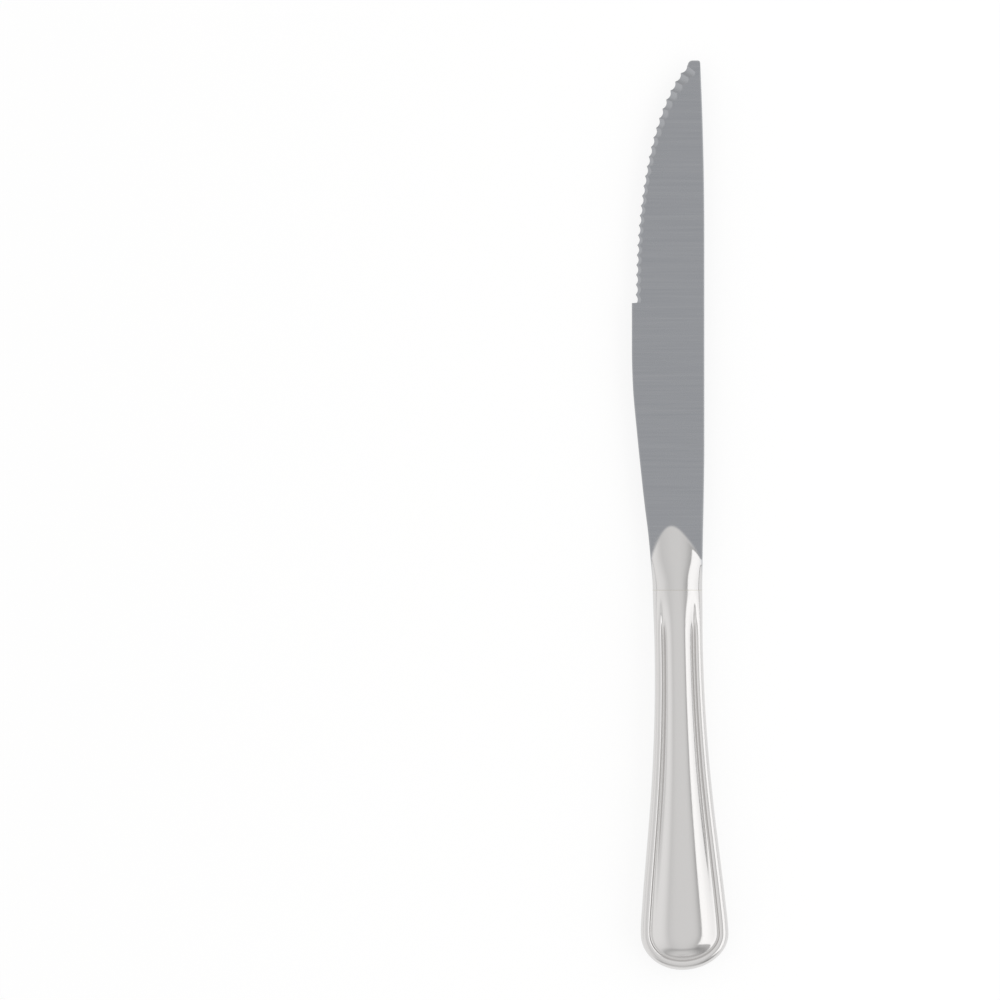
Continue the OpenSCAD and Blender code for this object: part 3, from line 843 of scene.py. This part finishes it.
# Edge side of the blade as rows of [x, y, place on the belly, kind], from the shoulder to the tip's
# corner. A notch is turned square to the belly: (x + n cos t - q sin t, y + n sin t + q cos t).
def edgeStations():
    def asRows(x, y, place, kind):
        return np.stack([x, y, place, 0 * x + kind], -1).reshape(-1, 4)

    places = scallopPlaces()
    turn = -np.arctan(bellySlope(places))
    # the plain heel ends in a square step, which the first flute is cut off by
    heelEnd = toothStartY - blade["stepHalf"]
    bolsterEnd = mouthY + collar + fade
    y = join(np.linspace(shoulderY, bolsterEnd, blade["bolsterStations"], endpoint=False),
             np.linspace(bolsterEnd, heelEnd, blade["heelStations"]))
    plain = asRows(plainEdgeX(y), y, y, plainKind)
    q = np.linspace(blade["stepHalf"] - blade["firstScallop"], fluteChord / 2, blade["toothSteps"] + 1)
    first = asRows(bellyX(places[0]) + notchDepth(q), places[0] + q, places[0] + q, fluteKind)
    q = fluteChord / 2 * np.sin(np.radians(np.linspace(-90, 90, blade["toothSteps"] + 1)))[None]
    c, s = np.cos(turn[1:, None]), np.sin(turn[1:, None])
    n = notchDepth(q)
    x = bellyX(places[1:, None]) + c * n - s * q
    y = places[1:, None] + s * n + c * q
    others = asRows(x, y, places[1:, None] + c * q, fluteKind)
    y = np.linspace(others[-1, 2], tipCornerY, blade["endSteps"] + 1)[1:]
    return join(plain, first, others, asRows(bellyX(y), y, y, bellyKind))


# Outline of the blade from the shoulder along the edge, round the tip and back along the spine, with
# the centre line's point and the kind of each station, and the number of stations before the spine.
# The centre line lies halfway to the spine, or past the end of the flutes where that is further.
def bladeStations():
    edge = edgeStations()
    x, y, place, kind = edge.T
    belly = np.maximum(place, toothStartY)
    base = np.where(kind == plainKind, x, bellyX(belly))
    lean = np.where(place > toothStartY, bellySlope(belly), 0.0) * blade["centreLean"]
    fluteReach = 2 * groundHeight(base, place) / (fluteTan - sideFall) + blade["toothDepth"]
    half = np.maximum((spineX(place) - base) / 2, (fluteReach + blade["pastFlute"]) / np.hypot(1, lean))
    centre = np.stack([base + half, place - half * lean], -1)
    centre[:, 1] = np.maximum.accumulate(centre[:, 1])  # it never runs back
    spine = np.stack([spineX(centre[:, 1]), centre[:, 1]], -1)
    # the tip: a quarter circle, a short level top, a smaller quarter circle and the end of the spine
    a = np.radians(90 * np.arange(blade["tipSteps"] + 1) / blade["tipSteps"])
    r = blade["tipEdgeRadius"]
    corner = np.stack([tipCornerX + r * (1 - np.cos(a)), tipCornerY + r * np.sin(a)], -1)[1:]
    r = blade["tipSpineRadius"]
    farX = spineX(tipY - r)
    topX = np.linspace(corner[-1, 0], farX - r, blade["topSteps"] + 1)[1:-1]
    top = np.stack([topX, np.full(len(topX), tipY)], -1)
    far = np.stack([farX - r * (1 - np.sin(a)), tipY - r * (1 - np.cos(a))], -1)
    downY = np.linspace(tipY - r, centre[-1, 1], blade["downSteps"] + 1)[1:-1]
    tip = join(corner, top, far, np.stack([spineX(downY), downY], -1))
    outline = join(edge[:, :2], tip, spine[::-1])
    centres = join(centre, np.tile(centre[-1:], (len(tip), 1)), centre[::-1])
    kinds = join(kind, np.full(len(tip) + len(spine), plainKind))
    return outline, centres, kinds, len(edge) + len(tip)


# oval of the bolster: b sqrt(1 - ((x - c) / a)^2), where a keeps the outline as far as the collar
# and then shrinks, and b falls after the table and then to nought inside the blade
def bolsterHeight(x, y):
    left, right = plainEdgeX(y), spineX(y)
    kept = 1 - (1 - blade["bolsterEndShare"]) * ease((y - mouthY - collar) / fade)
    a = (right - left) / 2 * kept
    share = smoothCurve(blade["bolsterThicknessShares"], (y - mouthY) / (collar + fade))
    b = knife["mouthThickness"] / 2 * share * (1 - ease((y - mouthY - collar - fade) / blade["hiddenEnd"]))
    return b * np.sqrt(np.maximum(0, 1 - ((x - (left + right) / 2) / a) ** 2))


# Bolster and ground side together: their larger height, with a fillet between them. The height over
# the ground side is divided by its own slope, so that the fillet and the change from polished to
# ground are equally wide everywhere. The mask is one on the bolster and nought on the ground side.
def joinBolster(x, y, ground, grown):
    def over(x, y):
        return bolsterHeight(x, y) - groundHeight(x, y) * grown

    d = blade["slopeStep"]
    slope = np.hypot(over(x + d, y) - over(x - d, y), over(x, y + d) - over(x, y - d)) / (2 * d)
    mask = ease(over(x, y) / np.maximum(slope, blade["leastSlope"]) / blade["bolsterRim"] + 0.5)
    mask = np.maximum(mask, 1 - ease((y - mouthY - blade["polishedLength"]) / collar))
    fillet = np.clip(blade["plungeFillet"] * slope, *blade["filletLimits"]) * grown
    return filletMax(bolsterHeight(x, y), ground, fillet), mask


# Insets of the rows from the outline to the centre line, and the share of the wall's height at each:
# on the wall, round its corner, r (1 - cos a), and on the side, near the edge and far from it, where
# they are spread evenly under the bolster.
def bladeRows(centre, radius, reach):
    wall = np.array(blade["wallShares"])[None]
    a = np.radians(np.linspace(0, 90, blade["cornerSteps"] + 1))[None]
    rows = np.array(blade["nearRows"])[None]
    near = rows * np.minimum(1, blade["nearLimit"] * reach / rows[:, -1:])
    last = near[:, -1:]
    far = last + (reach - last) * np.array(blade["farShares"])[None]
    side = join(np.maximum(near, radius * blade["pastCorner"]), far, axis=1)
    even = radius + (reach - radius) * (np.arange(side.shape[1]) + 1) / side.shape[1]
    onBlade = ease((centre[:, 1:] - mouthY - collar - fade) / blade["rowChange"])
    inset = join(0 * reach * wall, radius * (1 - np.cos(a)), even + (side - even) * onBlade, axis=1)
    wallShare = join(wall + 0 * reach, np.ones((len(reach), inset.shape[1] - wall.shape[1])), axis=1)
    return inset, wallShare


# Both sides of the blade are a fan of rows from the outline to the centre line. A plain station
# has a wall, a rounded corner of radius r and then the ground side; at a tooth the upper side is
# the flute, z = -h + w tan(angle), up to where it meets the ground side.
def bladeSurface():
    outline, centre, kind, firstSpine = bladeStations()
    reach = fanReach(outline, centre)
    fluted = kind[:, None] == fluteKind
    radius = np.where(outline[:, :1] > 0, blade["spineRadius"], blade["heelRadius"])
    inset, wallShare = bladeRows(centre, radius, reach)
    flat = fanPoints(outline, centre, inset, reach)
    x, y = flat[..., 0], flat[..., 1]
    ground = groundHeight(x, y)
    edgeGround = groundHeight(outline[:, :1], outline[:, 1:])
    arc = np.sqrt(np.maximum(0, radius**2 - (radius - inset) ** 2))
    rounding = np.where(inset < radius, radius - arc, 0)
    grown = ease((y - mouthY - blade["polishedLength"]) / blade["groundLength"])
    wedge = (ground - rounding) * wallShare * grown
    plain, bolster = joinBolster(x, y, wedge, grown)
    plain = np.where(inset == 0, wedge, plain)
    ramp = -edgeGround + inset * fluteTan
    upper = np.where(fluted, np.minimum(ground, ramp), plain)
    lower = np.where(fluted, -ground, -plain)
    lower[:, 0] = np.where(fluted[:, 0], -edgeGround[:, 0], 0)
    upper[:, 0] = lower[:, 0]  # the sides meet in the first row
    flute = np.where(fluted & (ramp < ground + blade["fluteRim"]), 1.0, 0.0)
    # lighter rounded corners: wear, partly a painted highlight
    wearAndHighlight = bell(inset, radius * blade["wearAndHighlightPlace"], radius * blade["wearAndHighlightWidth"])
    wearAndHighlight = wearAndHighlight * np.where(fluted, 0, 1) * grown
    points = join(withHeight(flat, upper), withHeight(flat, lower))
    number, under = gridPair(*inset.shape)
    # the cells are split along the bolster's rim, which runs the other way on the spine's half
    edgeHalf, spineHalf = slice(None, firstSpine), slice(None, firstSpine - 2, -1)
    faces = join(gridFaces(number[edgeHalf], flip=True), gridFaces(number[spineHalf]),
                 gridFaces(under[edgeHalf]), gridFaces(under[spineHalf], flip=True),
                 endFaces(number, under))
    values = {"fluteShare": join(flute, 0 * flute),
              "bolsterShare": join(bolster, bolster),
              "edgeWearAndHighlight": join(wearAndHighlight, wearAndHighlight)}
    return points, faces, values


tang = {
    "length": 46.0,
    "insideBolster": 0.9,
    "rootWidth": 6.6,
    "endWidth": 4.4,
    "thickness": 2.8,
    "notch": 0.8,
    "notchLength": 3.2,
    "notchShares": [0.35, 0.62],  # places of the keying notches
    "notchWall": 0.03,
    "corner": 0.6,
    "edgeShare": 0.4,  # share of the corner that the thickness loses at the end
    "squareness": 0.3,
    "steps": 60,
    "endShares": [0.7, 0.4, 0.15, 0.0],  # rows on the rounded end, as shares of the corner
    "sides": 40,
}


# The tang is a flat bar along the handle's leaning axis, (w c, t s) round each ring with the c and s
# of a rounded square, and w drops by the notch's depth between a notch's two ends
def tangSurface():
    length, wall, corner = tang["length"], tang["notchWall"], tang["corner"]
    middles = length * np.array(tang["notchShares"])
    starts, ends = middles - tang["notchLength"] / 2, middles + tang["notchLength"] / 2
    marks = join(starts - wall, ends - wall, starts + wall, ends + wall)
    even = np.linspace(-tang["insideBolster"], length - corner, tang["steps"])
    back = np.unique(join(even, marks, length - corner * np.array(tang["endShares"])))
    y = mouthY - back
    past, before = back[:, None] > starts - wall / 2, back[:, None] < ends + wall / 2
    inNotch = np.any(past & before, axis=1)
    taper = np.clip(back / length, 0, 1)
    width = tang["rootWidth"] + (tang["endWidth"] - tang["rootWidth"]) * taper
    width = width / 2 - tang["notch"] * inNotch
    left = np.clip((length - back) / corner, 0, 1)
    shrink = corner * (1 - np.sqrt(1 - (1 - left) ** 2))
    a = np.radians(np.linspace(0, 360, tang["sides"], endpoint=False))
    c, s = [np.sign(part) * np.abs(part) ** tang["squareness"] for part in (np.cos(a), np.sin(a))]
    x = handleAxis(y)[:, None] + (width - shrink)[:, None] * c
    z = (tang["thickness"] / 2 - shrink * tang["edgeShare"])[:, None] * s
    return ringFaces(np.stack([x, y[:, None] + 0 * x, z], -1), closed=False)


# blade, bolster and tang are one forging
def makeForging():
    points, faces, values = bladeSurface()
    tangPoints, tangFaces = tangSurface()
    faces = join(faces, tangFaces + len(points))
    points = join(points, tangPoints)
    bare = np.zeros(len(tangPoints))
    values = {key: join(value.ravel(), bare) for key, value in values.items()}
    makePiece("bladeForging", points, faces, values, bladeSteel, "blade")


makeForging()
print("stage 4: blade made")

# the cement core keeps its CAD shape
for materialSlot in nodes["tang_cement"].material_slots:
    materialSlot.link = "OBJECT"
    materialSlot.material = cementMaterial

# Studio, in metres and degrees
studio = {
    "frameWidth": 0.25948,  # metres across the picture
    "pixels": 1000,
    "knifePixelX": 680.2,  # middle of the knife's box in the picture
    "knifePixelY": 515.25,
    "cameraHeight": 0.6,
    "floorSize": 12.0,
    "floorColour": (0.93, 0.93, 0.93),
    "floorRoughness": 0.8,
    "floorGloss": 0.1,
    "whiteShare": 0.75,  # how far the floor is plain white, seen or reflected
    "whiteLevel": 1.06,
    # brightness overhead, from the left horizon (-90 degrees) over the top to the right one
    "skyAcross": [[-90, 0.70], [-76, 1.0], [-58, 1.0], [-42, 0.94], [-24, 0.78], [-6, 0.85], [4, 0.86],
                  [13, 0.80], [26, 0.54], [32, 0.66], [50, 0.64], [84, 0.45], [90, 0.60]],
    # share of it that is left towards the butt (-90) and the tip (90)
    "skyAlong": [[-90, 0.80], [-78, 0.96], [-68, 0.90], [-56, 0.66], [-44, 0.96], [-8, 1.0], [30, 1.0],
                 [60, 0.88], [90, 0.70]],
    "skyTint": (1.0, 0.995, 0.99),
    "keyAngles": (29.0, 84.0),
    "keyDistance": 0.8,
    "keyLength": 1.5,
    "keyRadiance": 0.72,
}


def makeCamera():
    data = bpy.data.cameras.new("camera")
    data.type = "ORTHO"
    data.ortho_scale = studio["frameWidth"]
    camera = addObject("camera", data)
    pixel = studio["frameWidth"] / studio["pixels"]
    x = (studio["pixels"] / 2 - studio["knifePixelX"]) * pixel
    y = (studio["knifePixelY"] - studio["pixels"] / 2) * pixel
    camera.location = (x, y, studio["cameraHeight"])
    bpy.context.scene.camera = camera


def makeFloor():
    half = studio["floorSize"] / 2
    mesh = bpy.data.meshes.new("floor")
    corners = [(-half, -half, 0), (half, -half, 0), (half, half, 0), (-half, half, 0)]
    mesh.from_pydata(corners, [], [(0, 1, 2, 3)])
    floor = addObject("floor", mesh)
    material, tree, surface = newMaterial("paleFloor", 0.0)[:3]
    matt = {"Roughness": studio["floorRoughness"], "Specular IOR Level": studio["floorGloss"]}
    setInputs(tree, surface, {"Base Color": (*studio["floorColour"], 1), **matt})
    rays = addNode(tree, "ShaderNodeLightPath").outputs
    seen = mathNode(tree, "MAXIMUM", rays["Is Camera Ray"], rays["Is Glossy Ray"])
    seen = mathNode(tree, "MAXIMUM", seen, rays["Is Transmission Ray"])
    seen = times(tree, seen, studio["whiteShare"])
    white = addNode(tree, "ShaderNodeEmission", {"Color": (1, 1, 1, 1), "Strength": studio["whiteLevel"]})
    mixed = addNode(tree, "ShaderNodeMixShader", {0: seen, 1: surface.outputs[0], 2: white.outputs[0]})
    setInputs(tree, tree.nodes["Material Output"], {"Surface": mixed.outputs[0]})
    mesh.materials.append(material)


# brightness after a table of angles from -90 to 90 degrees, the arcsines of a direction's part
def skyRamp(tree, part, rows):
    angle = mathNode(tree, "ARCSINE", part)
    ramp = addNode(tree, "ShaderNodeValToRGB", {"Fac": mapRange(tree, angle, -np.pi / 2, np.pi / 2)})
    stops = ramp.color_ramp.elements
    while len(stops) < len(rows):
        stops.new(0.5)
    for stop, (degrees, value) in zip(stops, rows):
        stop.position = (degrees + 90) / 180
        stop.color = (value, value, value, 1)
    return ramp.outputs[0]


# light of two ramps multiplied, and white to the camera
def makeWorld():
    world = bpy.data.worlds.new("studioWorld")
    bpy.context.scene.world = world
    world.use_nodes = True
    tree = world.node_tree
    tree.nodes.clear()
    direction = addNode(tree, "ShaderNodeTexCoord").outputs["Generated"]
    parts = addNode(tree, "ShaderNodeSeparateXYZ", {0: direction}).outputs
    across = skyRamp(tree, parts["X"], studio["skyAcross"])
    along = skyRamp(tree, parts["Y"], studio["skyAlong"])
    colour = timesVector(tree, timesVector(tree, across, along), studio["skyTint"])
    light = addNode(tree, "ShaderNodeBackground", {"Color": colour})
    white = addNode(tree, "ShaderNodeBackground", {"Color": (1, 1, 1, 1)})
    seen = addNode(tree, "ShaderNodeLightPath").outputs["Is Camera Ray"]
    mixed = addNode(tree, "ShaderNodeMixShader", {0: seen, 1: light.outputs[0], 2: white.outputs[0]})
    addNode(tree, "ShaderNodeOutputWorld", {"Surface": mixed.outputs[0]})


# A softbox facing the knife that spans the two angles, measured from overhead to the right.
# Its power follows from its brightness: pi times area times radiance.
def addSoftbox():
    a, b = np.radians(studio["keyAngles"])
    distance, length = studio["keyDistance"], studio["keyLength"]
    width = 2 * distance * np.tan((b - a) / 2)
    data = bpy.data.lights.new("keyRight", "AREA")
    data.shape = "RECTANGLE"
    data.size = width
    data.size_y = length
    data.energy = np.pi * width * length * studio["keyRadiance"]
    lamp = addObject("keyRight", data)
    middle = (a + b) / 2
    lamp.location = (distance * np.sin(middle), 0, distance * np.cos(middle))
    lamp.rotation_euler = (0, middle, 0)


makeCamera()
makeFloor()
makeWorld()
addSoftbox()
bpy.context.scene.view_settings.view_transform = "Standard"
print("stage 5: studio made")
